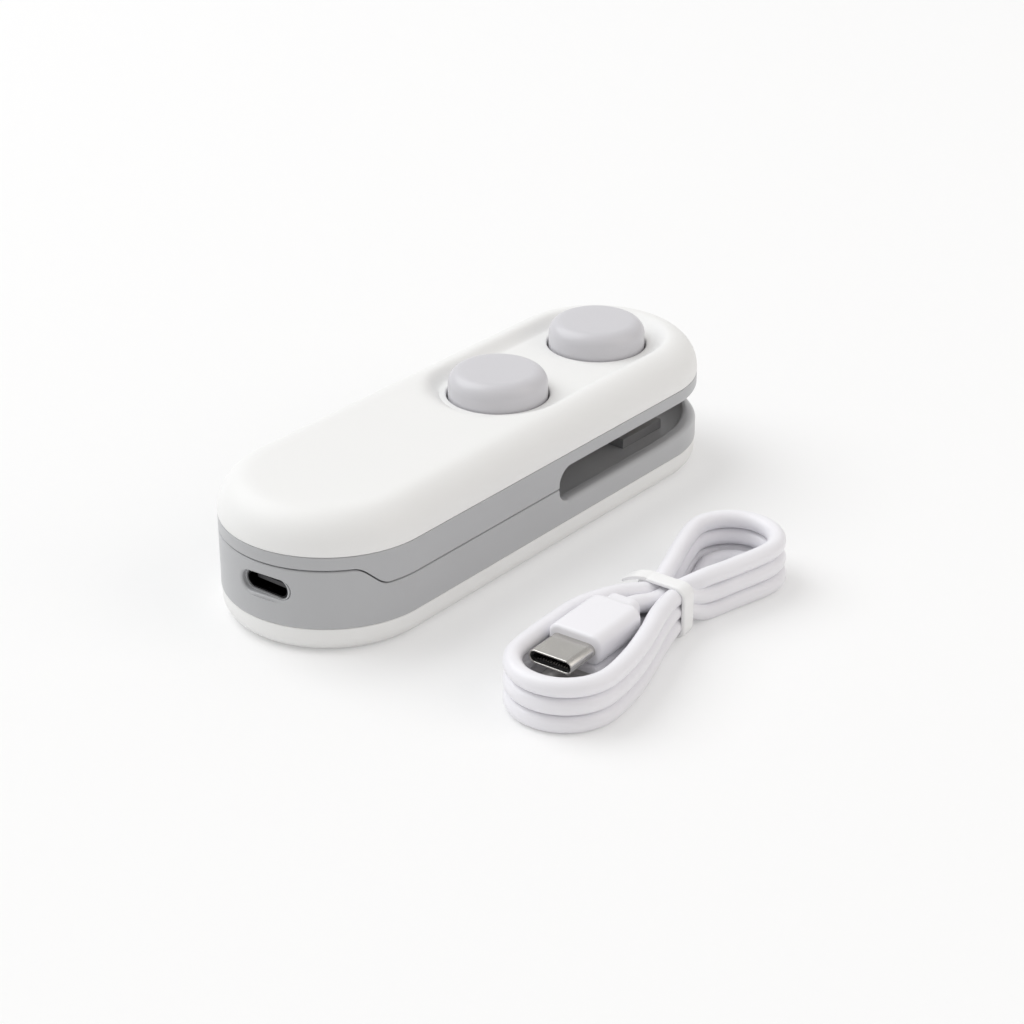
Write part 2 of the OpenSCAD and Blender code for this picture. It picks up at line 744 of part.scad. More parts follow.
// A square band round the waist, of a given outer width
module tie_ring(outer) {
    translate([0, 0, hank_h / 2]) rotate([90, 0, 90]) linear_extrude(tie_w, center = true)
        difference() {
            square(outer, center = true);
            square(hank_h - 2 * tie_t, center = true);
        }
}

module lead_tie() color(lead_white) laid() tie_ring(hank_h);

// Short ends between the waist and each plug's grip
plug_back_x = plug_x + shell_l + grip[0];
grip_a_z = 1.5 * grip[2];
grip_b_z = grip[2] / 2;
tail_a_route = [[-3, 0, 6.4], [-3.6, 0, 6.4], [-5, 0.5, 6.9], [-6.5, 1.2, 7.7],
    [-7.8, plug_y, grip_a_z], [plug_back_x, plug_y, grip_a_z]];
tail_b_route = [[-3, 0, grip_b_z], [-3.6, 0, grip_b_z], [-5.4, 0.7, grip_b_z],
    [-7.6, plug_y, grip_b_z], [plug_back_x, plug_y, grip_b_z]];
module lead_tails() color(lead_white) laid() {
    tube(tail_a_route, lead_d);
    tube(tail_b_route, lead_d);
}

module plug_shell(z) laid() translate([0, plug_y, 0]) difference() {
    port_solid(plug_x, plug_x + shell_l + 1, plug_w, plug_h, z);
    port_solid(plug_x - 1, plug_x + shell_l - 0.6, plug_w - 0.6, plug_h - 0.6, z);
}

module plug_grip(z) laid() translate([0, plug_y, 0]) difference() {
    union() {
        x = plug_x + shell_l;
        port_solid(x, x + grip[0] - 4, grip[1], grip[2], z);
        port_solid(x + grip[0] - 4, x + grip[0], grip[1] * 0.62, grip[2], z);
    }
    port_solid(plug_x, plug_x + shell_l + 1 + seat, plug_w, plug_h, z);
}

module plug_a_shell() color(steel) plug_shell(grip_a_z);
module plug_a_grip() color(lead_white) plug_grip(grip_a_z);
module plug_b_shell() color(steel) plug_shell(grip_b_z);
module plug_b_grip() color(lead_white) plug_grip(grip_b_z);

bottom_cover();
lower_shell();
upper_shell();
top_cover();
seal_button();
seal_head();
seal_guide_pins();
heater_strip();
ptfe_film();
seal_spring();
cut_button();
blade_carrier();
cut_guide_pins();
cutter_blade();
cut_spring();
sealing_pad();
cutting_anvil();
battery_cell();
battery_leads();
main_board();
board_components();
board_screws();
usb_receptacle();
usb_tongue();
switch_board();
tact_switch();
switch_plunger();
heater_leads();
case_screws();
jaw_screws();
arm_screw();
lead_hank();
lead_tails();
lead_tie();
plug_a_shell();
plug_a_grip();
plug_b_shell();
plug_b_grip();
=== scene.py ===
"""Visual model of a handheld bag heat sealer with its tied charging lead.

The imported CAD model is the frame. This script trims the shells and buttons to soft-edged forms,
winds the lead, dresses every piece in a procedural finish, and sets up the camera and the light.
Sizes in the classes are millimetres; Blender objects are in metres.
"""

import logging
import math
from dataclasses import dataclass, field
from enum import Enum
from typing import Callable, Iterable, Sequence

import bmesh
import bpy
from mathutils import Matrix, Vector


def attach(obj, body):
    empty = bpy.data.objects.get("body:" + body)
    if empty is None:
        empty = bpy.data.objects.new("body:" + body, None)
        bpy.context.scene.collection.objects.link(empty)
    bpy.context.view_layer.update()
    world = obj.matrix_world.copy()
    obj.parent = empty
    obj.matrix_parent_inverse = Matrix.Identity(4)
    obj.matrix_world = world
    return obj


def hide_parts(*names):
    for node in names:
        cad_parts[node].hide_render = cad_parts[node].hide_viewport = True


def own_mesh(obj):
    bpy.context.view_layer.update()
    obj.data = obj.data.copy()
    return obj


LOG = logging.getLogger("bag_sealer")
MM = 0.001
WELD = 1e-7

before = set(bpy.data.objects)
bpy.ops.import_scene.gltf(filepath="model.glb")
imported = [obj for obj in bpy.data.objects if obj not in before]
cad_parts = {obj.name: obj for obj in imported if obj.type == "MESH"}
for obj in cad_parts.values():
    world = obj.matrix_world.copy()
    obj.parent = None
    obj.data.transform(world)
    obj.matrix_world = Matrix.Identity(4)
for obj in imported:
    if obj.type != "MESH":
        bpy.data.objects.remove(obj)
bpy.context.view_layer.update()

Point = tuple[float, float, float]
Section = list[tuple[float, float]]


class Body(Enum):
    """The rigid bodies of the mechanism."""

    HOUSING = "housing"
    SEAL = "seal_plunger"
    CUT = "cut_plunger"
    LEAD = "charging_lead"


# ---------------------------------------------------------------- shader graph


class Value:
    """A shader socket that can be used in Python arithmetic."""

    def __init__(self, graph: "Graph", socket: bpy.types.NodeSocket) -> None:
        """Keeps the graph and the socket it stands for."""
        self.graph = graph
        self.socket = socket

    def __add__(self, other: "Value | float") -> "Value":
        """Sum."""
        return self.graph.maths("ADD", self, other)

    def __sub__(self, other: "Value | float") -> "Value":
        """Difference."""
        return self.graph.maths("SUBTRACT", self, other)

    def __rsub__(self, other: float) -> "Value":
        """Difference from a number."""
        return self.graph.maths("SUBTRACT", other, self)

    def __mul__(self, other: "Value | float") -> "Value":
        """Product."""
        return self.graph.maths("MULTIPLY", self, other)

    def __gt__(self, other: float) -> "Value":
        """1 where this is greater than the other, else 0."""
        return self.graph.maths("GREATER_THAN", self, other)

    __radd__ = __add__
    __rmul__ = __mul__


class Graph:
    """The node tree of one material."""

    def __init__(self, name: str) -> None:
        """Makes an empty material of that name."""
        self.material = bpy.data.materials.new(name)
        self.material.use_nodes = True
        self.tree = self.material.node_tree
        self.tree.nodes.clear()

    def add(self, kind: str, settings: dict | None = None, inputs: dict | None = None) -> bpy.types.Node:
        """Adds a node.

        Args:
            kind: the node's type.
            settings: properties to set first; "stops" sets a colour ramp's stops.
            inputs: socket name or index to a value, a Value or a socket to link.

        Returns:
            The new node.
        """
        node = self.tree.nodes.new(kind)
        for key, value in (settings or {}).items():
            if key == "stops":
                for stop, (place, colour) in zip(node.color_ramp.elements, value):
                    stop.position = place
                    stop.color = colour
            else:
                setattr(node, key, value)
        for key, value in (inputs or {}).items():
            source = value.socket if isinstance(value, Value) else value
            if isinstance(source, bpy.types.NodeSocket):
                self.tree.links.new(source, node.inputs[key])
            else:
                node.inputs[key].default_value = source
        return node

    def maths(self, operation: str, first: Value | float, second: Value | float) -> Value:
        """A Math node's result, clamped to nothing."""
        node = self.add("ShaderNodeMath", {"operation": operation}, {0: first, 1: second})
        return Value(self, node.outputs[0])

    def place(self, scale: Point = (1.0, 1.0, 1.0)) -> bpy.types.NodeSocket:
        """Position on the part in millimetres, times scale."""
        where = self.add("ShaderNodeTexCoord").outputs["Object"]
        factors = tuple(s / MM for s in scale)
        node = self.add("ShaderNodeVectorMath", {"operation": "MULTIPLY"}, {0: where, 1: factors})
        return node.outputs[0]

    def noise(self, size: float, detail: float = 2.0, stretch: Point = (1.0, 1.0, 1.0)) -> Value:
        """Noise from 0 to 1 with features about size millimetres across."""
        inputs = {"Vector": self.place(stretch), "Scale": 1.0 / size, "Detail": detail}
        return Value(self, self.add("ShaderNodeTexNoise", None, inputs).outputs["Fac"])

    def ramp(self, value: Value, low: float, high: float) -> Value:
        """0 below low, 1 above high, smooth between."""
        settings = {"interpolation_type": "SMOOTHSTEP"}
        inputs = {"Value": value, "From Min": low, "From Max": high}
        return Value(self, self.add("ShaderNodeMapRange", settings, inputs).outputs["Result"])

    def blend(self, mask: Value, first: "Tint", second: "Tint") -> bpy.types.NodeSocket:
        """A colour that goes from first to second as the mask goes from 0 to 1."""
        settings = {"data_type": "RGBA"}
        inputs = {0: mask, 6: _colour(first), 7: _colour(second)}
        return self.add("ShaderNodeMix", settings, inputs).outputs[2]

    def bump(self, height: Value, depth: float, strength: float = 1.0) -> bpy.types.NodeSocket:
        """A normal for a relief of that depth in millimetres."""
        inputs = {"Height": height, "Distance": depth * MM, "Strength": strength}
        return self.add("ShaderNodeBump", None, inputs).outputs["Normal"]

    def finish(self, **sockets: object) -> bpy.types.Material:
        """Ends the graph in a Principled shader.

        Args:
            sockets: Principled inputs, with underscores for spaces.

        Returns:
            The finished material.
        """
        inputs = {key.replace("_", " "): value for key, value in sockets.items()}
        shader = self.add("ShaderNodeBsdfPrincipled", None, inputs)
        self.add("ShaderNodeOutputMaterial", None, {"Surface": shader.outputs[0]})
        return self.material


Tint = Sequence[float]


def linear(level: float) -> float:
    """The linear value of an sRGB level from 0 to 255."""
    share = level / 255.0
    return share / 12.92 if share <= 0.04045 else ((share + 0.055) / 1.055) ** 2.4


def rgb(red: float, green: float, blue: float) -> Point:
    """A linear colour from sRGB levels."""
    return linear(red), linear(green), linear(blue)


def _colour(tint: "Tint | bpy.types.NodeSocket") -> object:
    """A colour with alpha, or the socket as it is."""
    return (*tint[:3], 1.0) if isinstance(tint, tuple) else tint


def shade(tint: Point, factor: float) -> Point:
    """A colour times a factor."""
    return tint[0] * factor, tint[1] * factor, tint[2] * factor


# ---------------------------------------------------------------- finishes


@dataclass(frozen=True)
class Moulded:
    """Moulded plastic or rubber with a fine spark texture."""

    name: str
    tint: Point
    roughness: float = 0.42
    grain: float = 0.28
    relief: float = 0.006
    drift: float = 0.02
    coat: float = 0.0
    speckle: float = 0.0

    def material(self) -> bpy.types.Material:
        """Builds the material."""
        graph = Graph(self.name)
        fine = graph.noise(self.grain, 3.0)
        broad = graph.noise(26.0, 1.0)
        flow = graph.noise(5.0, 2.0, (0.35, 1.0, 1.0))
        base = graph.blend(broad, shade(self.tint, 1 - self.drift), shade(self.tint, 1 + self.drift / 2))
        if self.speckle:
            dots = graph.ramp(graph.noise(0.5, 1.0), 0.60, 0.66) * self.speckle
            base = graph.blend(dots, base, shade(self.tint, 2.6))
        rough = (fine - 0.5) * 0.08 + (flow - 0.5) * 0.05 + self.roughness
        normal = graph.bump(fine, self.relief)
        return graph.finish(
            Base_Color=base, Roughness=rough, Normal=normal, Coat_Weight=self.coat, Coat_Roughness=0.25)


class Grain(Enum):
    """The way that a metal's surface marks run, as a stretch of the noise."""

    ALONG_X = (0.04, 1.0, 1.0)
    ALONG_Y = (1.0, 0.04, 1.0)
    ALONG_Z = (1.0, 1.0, 0.04)
    NONE = (1.0, 1.0, 1.0)


@dataclass(frozen=True)
class Metal:
    """Plated, drawn or ground metal."""

    name: str
    tint: Point
    roughness: float = 0.26
    grain: Grain = Grain.NONE
    mark: float = 0.12
    relief: float = 0.002

    def material(self) -> bpy.types.Material:
        """Builds the material."""
        graph = Graph(self.name)
        marks = graph.noise(self.mark, 3.0, self.grain.value)
        cloud = graph.noise(3.0, 3.0)
        base = graph.blend(cloud, shade(self.tint, 0.90), shade(self.tint, 1.05))
        rough = (marks - 0.5) * 0.22 + (cloud - 0.5) * 0.10 + self.roughness
        return graph.finish(
            Base_Color=base, Metallic=1.0, Roughness=rough, Normal=graph.bump(marks, self.relief))


@dataclass(frozen=True)
class Woven:
    """Coated glass cloth, with a plain weave of threads."""

    name: str
    tint: Point
    thread: float = 0.45

    def material(self) -> bpy.types.Material:
        """Builds the material."""
        graph = Graph(self.name)
        inputs = {"Vector": graph.place(), "Scale": 1.0 / self.thread}
        warp = graph.add("ShaderNodeTexWave", {"bands_direction": "Y"}, inputs).outputs["Fac"]
        weft = graph.add("ShaderNodeTexWave", {"bands_direction": "Z"}, inputs).outputs["Fac"]
        cloth = Value(graph, warp) * 0.5 + Value(graph, weft) * 0.5
        base = graph.blend(cloth, shade(self.tint, 0.75), shade(self.tint, 1.15))
        rough = cloth * 0.15 + 0.38
        return graph.finish(Base_Color=base, Roughness=rough, Normal=graph.bump(cloth, 0.03))


@dataclass(frozen=True)
class Laminate:
    """Circuit board with a solder mask over faint tracks."""

    name: str
    tint: Point

    def material(self) -> bpy.types.Material:
        """Builds the material."""
        graph = Graph(self.name)
        settings = {"feature": "DISTANCE_TO_EDGE"}
        inputs = {"Vector": graph.place(), "Scale": 0.45}
        edge = Value(graph, graph.add("ShaderNodeTexVoronoi", settings, inputs).outputs["Distance"])
        tracks = 1.0 - graph.ramp(edge, 0.05, 0.09)
        base = graph.blend(tracks, self.tint, shade(self.tint, 2.2))
        weave = graph.noise(0.3, 2.0)
        return graph.finish(
            Base_Color=base, Roughness=weave * 0.1 + 0.28, Normal=graph.bump(tracks, 0.02),
            Coat_Weight=0.4)


@dataclass(frozen=True)
class Wrinkled:
    """Foil pouch or shrink wrap with soft creases, with painted shade in their hollows and painted highlight on their
    ridges.
    """

    name: str
    tint: Point

    def material(self) -> bpy.types.Material:
        """Builds the material."""
        graph = Graph(self.name)
        crease_and_shade = graph.noise(4.0, 4.0, (0.5, 1.0, 1.0))
        fine = graph.noise(0.6, 2.0)
        # The colour follows the crease relief, darker in the hollows and lighter on the ridges: painted shade and
        # painted highlight.
        base = graph.blend(crease_and_shade, shade(self.tint, 0.85), shade(self.tint, 1.1))
        rough = crease_and_shade * 0.2 + 0.22
        return graph.finish(
            Base_Color=base, Metallic=0.55, Roughness=rough,
            Normal=graph.bump(crease_and_shade + fine * 0.15, 0.18))


COVER = Moulded("cover_white", rgb(240, 240, 239), roughness=0.50, relief=0.004, drift=0.012)
SHELL = Moulded("body_grey", rgb(182, 183, 185), roughness=0.33, relief=0.006, drift=0.015)
BUTTON = Moulded("button_grey", rgb(208, 207, 211), roughness=0.33, relief=0.005, drift=0.012)
HEAD = Moulded("head_phenolic", rgb(74, 54, 42), roughness=0.5, relief=0.01, speckle=0.35)
CARRIER = Moulded("carrier_black", rgb(46, 46, 49), roughness=0.5)
ANVIL = Moulded("anvil", rgb(150, 150, 152), roughness=0.55)
PAD = Moulded("silicone", rgb(150, 150, 152), roughness=0.62, relief=0.01, drift=0.04)
CHIPS = Moulded("chips", rgb(40, 40, 42), roughness=0.45, speckle=0.2)
SOCKET = Moulded("socket_black", rgb(24, 24, 25), roughness=0.35)
IVORY = Moulded("switch_ivory", rgb(218, 206, 178), roughness=0.3)
WIRE_RED = Moulded("wire_red", rgb(190, 34, 30), roughness=0.35)
WIRE_WHITE = Moulded("wire_white", rgb(222, 222, 218), roughness=0.5)
JACKET = Moulded("lead_jacket", rgb(240, 239, 243), roughness=0.38, grain=0.5, relief=0.01, drift=0.01)
STRAP = Moulded("lead_strap", rgb(245, 245, 245), roughness=0.3, grain=0.6, relief=0.008)
GRIP = Moulded("plug_grip", rgb(241, 240, 244), roughness=0.40, relief=0.006, drift=0.01)
SCREW = Metal("steel", rgb(196, 196, 200), 0.30)
PINS = Metal("pin_steel", rgb(205, 205, 208), 0.18, Grain.ALONG_Z, 0.2)
SPRING = Metal("spring_steel", rgb(188, 188, 190), 0.28)
STRIP = Metal("heater_metal", rgb(178, 174, 166), 0.34, Grain.ALONG_Y, 0.15)
BLADE = Metal("blade_steel", rgb(214, 214, 216), 0.20, Grain.ALONG_Y, 0.08)
PLATED = Metal("plug_steel", rgb(206, 204, 200), 0.24, Grain.ALONG_X, 0.15)
# Dark plating on the port's shell, made dark to stand in for the shade inside the port's mouth: partly the shell's own
# colour, partly painted shade.
DARK_PLATE_AND_SHADE = Metal("receptacle_black_painted_shade", rgb(40, 40, 42), 0.30)
# The tongue's moulding gets a grey lighter than black, to stand in for the highlight along its edge: partly its own
# colour, partly painted highlight.
TONGUE_AND_HIGHLIGHT = Moulded("tongue_grey_painted_highlight", rgb(62, 62, 65), roughness=0.3)
FILM = Woven("ptfe", rgb(150, 118, 82))
BOARD = Laminate("board_green", rgb(26, 92, 56))
POUCH = Wrinkled("battery_wrap", rgb(158, 166, 176))

INNER_FINISHES = {
    "seal_head": HEAD, "seal_guide_pins": PINS, "heater_strip": STRIP, "ptfe_film": FILM,
    "blade_carrier": CARRIER, "cut_guide_pins": PINS, "cutter_blade": BLADE,
    "sealing_pad": PAD, "cutting_anvil": ANVIL, "battery_cell": POUCH,
    "battery_leads": WIRE_RED, "main_board": BOARD, "board_components": CHIPS, "board_screws": SCREW,
    "usb_receptacle": DARK_PLATE_AND_SHADE, "usb_tongue": TONGUE_AND_HIGHLIGHT, "switch_board": BOARD, "tact_switch": CHIPS,
    "switch_plunger": IVORY, "heater_leads": WIRE_WHITE, "case_screws": SCREW, "jaw_screws": SCREW,
    "arm_screw": SCREW, "plug_a_shell": PLATED, "plug_b_shell": PLATED,
}

_made: dict[str, bpy.types.Material] = {}


def dress(piece: bpy.types.Object, finish: object) -> None:
    """Gives a piece one finish, made once and shared."""
    if finish.name not in _made:
        _made[finish.name] = finish.material()
    piece.data.materials.clear()
    piece.data.materials.append(_made[finish.name])


# ---------------------------------------------------------------- mesh tools


def smoothstep(low: float, high: float, value: float) -> float:
    """0 below low, 1 above high, smooth between."""
    share = min(1.0, max(0.0, (value - low) / (high - low)))
    return share * share * (3.0 - 2.0 * share)


def spread(first: float, last: float, count: int) -> list[float]:
    """Count even values from first to last."""
    return [first + (last - first) * i / (count - 1) for i in range(count)]


def arc(cx: float, cy: float, radius: float, start: float, end: float, count: int) -> Section:
    """Points on an arc between two angles in degrees."""
    angles = [math.radians(a) for a in spread(start, end, count)]
    return [(cx + radius * math.cos(a), cy + radius * math.sin(a)) for a in angles]


def build(name: str, points: Iterable[Point], faces: Iterable[Sequence[int]]) -> bpy.types.Object:
    """Makes an object from points in millimetres, welded, with its normals outwards."""
    mesh = bpy.data.meshes.new(name)
    mesh.from_pydata([(x * MM, y * MM, z * MM) for x, y, z in points], [], list(faces))
    work = bmesh.new()
    work.from_mesh(mesh)
    bmesh.ops.remove_doubles(work, verts=work.verts, dist=WELD)
    bmesh.ops.dissolve_degenerate(work, edges=work.edges, dist=WELD)
    bmesh.ops.recalc_face_normals(work, faces=work.faces)
    work.to_mesh(mesh)
    work.free()
    piece = bpy.data.objects.new(name, mesh)
    bpy.context.scene.collection.objects.link(piece)
    return piece


def skin(rings: Sequence[Sequence[Point]], around: bool, ends: bool) -> list[tuple[int, ...]]:
    """Faces between rings of points.

    Args:
        rings: rings with the same number of points.
        around: whether the last ring joins the first.
        ends: whether each ring is closed, with a face over the first and last ring.

    Returns:
        Faces as indexes into the rings' points, one ring after another.
    """
    size, count = len(rings[0]), len(rings)
    faces: list[tuple[int, ...]] = []
    for i in range(count if around else count - 1):
        j = (i + 1) % count
        for k in range(size if ends else size - 1):
            m = (k + 1) % size
            faces.append((i * size + k, j * size + k, j * size + m, i * size + m))
    if ends:
        faces.append(tuple(range(size - 1, -1, -1)))
        faces.append(tuple((count - 1) * size + k for k in range(size)))
    return faces


def lathe(name: str, x: float, profile: Section, steps: int = 144) -> bpy.types.Object:
    """A solid of revolution about the vertical line at x."""
    angles = [2 * math.pi * i / steps for i in range(steps)]
    rings = [[(x + r * math.cos(a), r * math.sin(a), z) for r, z in profile] for a in angles]
    return build(name, [p for ring in rings for p in ring], skin(rings, True, False))


def plain_copy(node: str, name: str) -> bpy.types.Object:
    """A welded copy of a CAD node's mesh as an object of its own."""
    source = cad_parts[node].data
    points = [tuple(c / MM for c in v.co) for v in source.vertices]
    return build(name, points, [tuple(p.vertices) for p in source.polygons])


def carve(piece: bpy.types.Object, tools: Sequence[tuple[str, bpy.types.Object]]) -> bpy.types.Object:
    """Applies boolean tools to a piece and removes them.

    Args:
        piece: the solid to work on.
        tools: pairs of an operation and the tool object.

    Returns:
        The piece, with its new mesh.
    """
    for operation, tool in tools:
        step = piece.modifiers.new(operation, "BOOLEAN")
        step.operation = operation
        step.solver = "MANIFOLD"
        step.object = tool
        settle(piece)
        bpy.data.objects.remove(tool)
    return piece


def settle(piece: bpy.types.Object) -> None:
    """Bakes a piece's modifiers into its mesh."""
    graph = bpy.context.evaluated_depsgraph_get()
    mesh = bpy.data.meshes.new_from_object(piece.evaluated_get(graph))
    piece.modifiers.clear()
    piece.data = mesh


def smooth(piece: bpy.types.Object, angle: float = 32.0) -> None:
    """Shades a piece smooth, with edges sharper than the angle kept sharp."""
    for face in piece.data.polygons:
        face.use_smooth = True
    piece.data.set_sharp_from_angle(angle=math.radians(angle))


def hand_over(piece: bpy.types.Object, body: Body, slot: str, finish: object, *nodes: str) -> None:
    """Dresses a piece, makes it ride on a body and stand for CAD nodes, and reports it."""
    dress(piece, finish)
    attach(piece, body.value)
    if nodes:
        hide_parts(*nodes)
    LOG.info("%s rides on %s", piece.name, body.value)


# ---------------------------------------------------------------- plan shared by the shells


@dataclass(frozen=True)
class Station:
    """One ray across the body's plan, from its long middle line outwards."""

    foot: float
    along: float
    side: float

    def x(self, radius: float) -> float:
        """X at a radius along this ray."""
        return self.foot + radius * self.along

    def point(self, radius: float, z: float) -> Point:
        """Point at a radius and height on this ray."""
        return self.x(radius), radius * self.side, z


@dataclass
class Plan:
    """Levels, radii and curves that the housing's shells share."""

    r_out: float = 19.0
    r_in: float = 17.2
    arc_x: float = 37.0
    seal_x: float = 37.0
    cut_x: float = 7.6
    throat_x: float = 1.2
    throat_up_r: float = 3.45
    throat_low_r: float = 3.05
    base_h: float = 4.9
    tray_z: float = 6.5
    rim_z: float = 9.0
    split_z: float = 12.05
    arm_z: float = 15.5
    band_z: float = 18.1
    dish_z: float = 23.2
    cover_z: float = 25.0
    rear_rise: float = 3.6
    step_x: float = -48.4
    step_run: float = 5.6
    front_lip: float = 1.4
    lip_x: float = 50.0
    lip_run: float = 20.0
    inset: float = 0.03

    def stations(self) -> list[Station]:
        """Rays all round the body, closer together at the throat."""
        half = [math.radians(a) for a in spread(-90.0, 90.0, 145)]
        turn = [math.radians(a) for a in spread(0.0, 90.0, 22)]
        feet = spread(self.arc_x, 8.0, 20)
        feet += [5.6, 4.4] + [self.throat_x + self.throat_up_r * (1 - math.cos(a)) for a in reversed(turn)]
        edges = (self.throat_x, 0.012), (self.throat_x + self.throat_low_r, 0.01)
        feet = sorted(set(feet + [x + side * gap for x, gap in edges for side in (-1, 1)]), reverse=True)
        feet += spread(-0.8, -self.arc_x, 26)
        rays = [Station(self.arc_x, math.cos(a), math.sin(a)) for a in half]
        rays += [Station(x, 0.0, 1.0) for x in feet[1:-1]]
        rays += [Station(-self.arc_x, -math.cos(a), -math.sin(a)) for a in half]
        rays += [Station(x, 0.0, -1.0) for x in reversed(feet[1:-1])]
        return rays

    def parting(self, x: float) -> float:
        """Height of the parting line between the grey shells."""
        share = min(1.0, max(0.0, (x - self.step_x) / self.step_run))
        return self.split_z + self.rear_rise * (1 + math.cos(math.pi * share)) / 2

    def rim(self, x: float) -> float:
        """Height of the lower jaw's rim."""
        share = min(1.0, max(0.0, (x - self.lip_x + self.lip_run) / self.lip_run))
        return self.rim_z + self.front_lip * (1 - math.cos(math.pi * share)) / 2

    def loft(self, name: str, section: Callable[[Station], Section]) -> bpy.types.Object:
        """Makes a closed skin from one section on each ray.

        Args:
            name: the object's name.
            section: gives a ray's points, from the middle of the underside round to the top.

        Returns:
            The closed solid.
        """
        rings = [[ray.point(r, z) for r, z in section(ray)] for ray in self.stations()]
        return build(name, [p for ring in rings for p in ring], skin(rings, True, False))


def drop(radius: float, edge: float, rounding: float) -> float:
    """How far a rounded outer edge lies below its flat top at a radius."""
    inside = radius - (edge - rounding)
    if inside <= 0 or rounding <= 0:
        return 0.0
    return rounding - math.sqrt(max(0.0, rounding ** 2 - min(inside, rounding) ** 2))


def soft_min(first: float, second: float, blend: float) -> float:
    """The lower of two heights, with the crease between them rounded."""
    share = max(blend - abs(first - second), 0.0) / blend
    return min(first, second) - share * share * blend / 4


@dataclass
class Housing:
    """The bottom cover, the two grey shells and the top cover."""

    plan: Plan = field(default_factory=Plan)
    base_r: float = 18.9
    base_edge: float = 3.2
    crown_r: float = 6.4
    seam: float = 0.22
    parting_edge: float = 0.34
    hairline: float = 0.12
    arm_edge: float = 0.45
    rim_edge: float = 0.9
    lip_edge: float = 3.2
    tray_r: float = 13.5
    tray_arc: float = 2.9
    hole_r: float = 9.3
    mouth: float = 0.35
    port_w: float = 9.74
    port_h: float = 3.66
    port_y: float = -1.8
    port_z: float = 11.3
    port_edge: float = 0.5

    def radii(self) -> list[float]:
        """Radii at which a shell's upper or lower face is sampled, closer together at its edges."""
        edge = self.plan.r_out - self.plan.inset
        inner = spread(0.0, self.tray_r, 10)
        middle = spread(self.tray_r, 17.45, 42)[1:]
        outer = [edge - (edge - 17.45) * (1 - s) ** 2 for s in spread(0.0, 1.0, 16)][1:]
        return inner + [r for r in middle + [17.35] if r < 17.46] + outer

    def jaw_top(self, ray: Station, radius: float) -> float:
        """Height of the lower jaw's upper face: rim, tray and front lip."""
        plan = self.plan
        x = ray.x(radius)
        edge = plan.r_out - plan.inset
        if x < plan.throat_x + plan.throat_low_r:
            reach = plan.throat_low_r + plan.inset
            across = min(reach, plan.throat_x + plan.throat_low_r - x)
            return plan.split_z - math.sqrt(reach ** 2 - across ** 2) - drop(radius, edge, 0.4)
        rim = plan.rim(ray.x(16.4)) - 0.02
        forward = smoothstep(0.15, 1.0, ray.along)
        inner_r = 1.0 - 0.25 * forward
        outer_r = self.rim_edge + (self.lip_edge - self.rim_edge) * forward
        arc_z = plan.tray_z + self.tray_arc
        reach = self.tray_arc + plan.inset
        below = min(rim - inner_r - arc_z, 0.0)
        centre = self.tray_r + math.sqrt((reach + inner_r) ** 2 - below ** 2)
        meet = self.tray_r + (centre - self.tray_r) * reach / (reach + inner_r)
        if radius <= self.tray_r:
            inner = plan.tray_z - plan.inset
        elif radius <= meet:
            inner = arc_z - math.sqrt(max(0.0, reach ** 2 - (radius - self.tray_r) ** 2))
        elif radius <= centre:
            inner = rim - inner_r + math.sqrt(max(0.0, inner_r ** 2 - (centre - radius) ** 2))
        else:
            inner = rim
        return min(inner, rim - drop(radius, edge, outer_r))

    def lower_top(self, ray: Station, radius: float) -> float:
        """Height of the lower shell's upper face."""
        plan = self.plan
        x = ray.x(radius)
        if x > plan.throat_x:
            return self.jaw_top(ray, radius)
        if radius < 17.4:
            return 30.0
        edge = plan.r_out - plan.inset
        return plan.parting(x) - self.hairline - drop(radius, edge, self.parting_edge)

    def upper_low(self, ray: Station, radius: float) -> float:
        """Height of the upper shell's lower face."""
        plan = self.plan
        x = ray.x(radius)
        edge = plan.r_out - plan.inset
        if x > plan.throat_x:
            reach = plan.throat_up_r + plan.inset
            across = min(reach, max(0.0, plan.throat_x + plan.throat_up_r - x))
            face = plan.split_z + math.sqrt(reach ** 2 - across ** 2)
            return face + drop(radius, edge, self.arm_edge)
        if radius < 17.4:
            return 3.0
        return plan.parting(x) + self.hairline + drop(radius, edge, 0.12)

    def crown(self, ray: Station, radius: float) -> float:
        """Height of the top cover's outer face, with the dish round the buttons."""
        plan = self.plan
        reach = self.crown_r - plan.inset
        away = radius - (plan.r_out - self.crown_r)
        low = plan.cover_z - self.crown_r
        top = low + (reach if away <= 0 else math.sqrt(max(0.0, reach ** 2 - away ** 2)))
        x, y, _ = ray.point(radius, 0.0)
        near = min(plan.seal_x, max(plan.cut_x, x))
        distance = math.hypot(x - near, y)
        floor = plan.dish_z - plan.inset
        slope = floor + (plan.cover_z - plan.dish_z + 0.23) * smoothstep(10.4, 14.2, distance)
        return soft_min(top, slope, 0.7)

    def base_section(self, ray: Station) -> Section:
        """Outline of the bottom cover."""
        inset, edge = self.plan.inset, self.base_r - self.plan.inset
        reach = self.base_edge - inset
        low = arc(self.base_r - self.base_edge, self.base_edge, reach, -90, 0, 20)
        top = self.plan.base_h - 0.02
        seam = arc(edge - self.seam, top - self.seam, self.seam, 0, 90, 7)
        return [(0.0, inset)] + low + seam + [(17.0, top), (17.0, 30.0), (0.0, 30.0)]

    def lower_section(self, ray: Station) -> Section:
        """Outline of the lower shell."""
        edge = self.plan.r_out - self.plan.inset
        low = self.plan.base_h + 0.02
        seam = arc(edge - self.seam, low + self.seam, self.seam, -90, 0, 7)
        top = [(r, self.lower_top(ray, r)) for r in reversed(self.radii())]
        return [(0.0, -1.0), (17.5, -1.0), (17.5, low)] + seam + top

    def upper_section(self, ray: Station) -> Section:
        """Outline of the upper shell."""
        edge = self.plan.r_out - self.plan.inset
        high = self.plan.band_z - 0.02
        under = [(r, self.upper_low(ray, r)) for r in self.radii()]
        seam = arc(edge - 0.18, high - 0.18, 0.18, 0, 90, 6)
        return under + seam + [(17.4, high), (17.4, 32.0), (0.0, 32.0)]

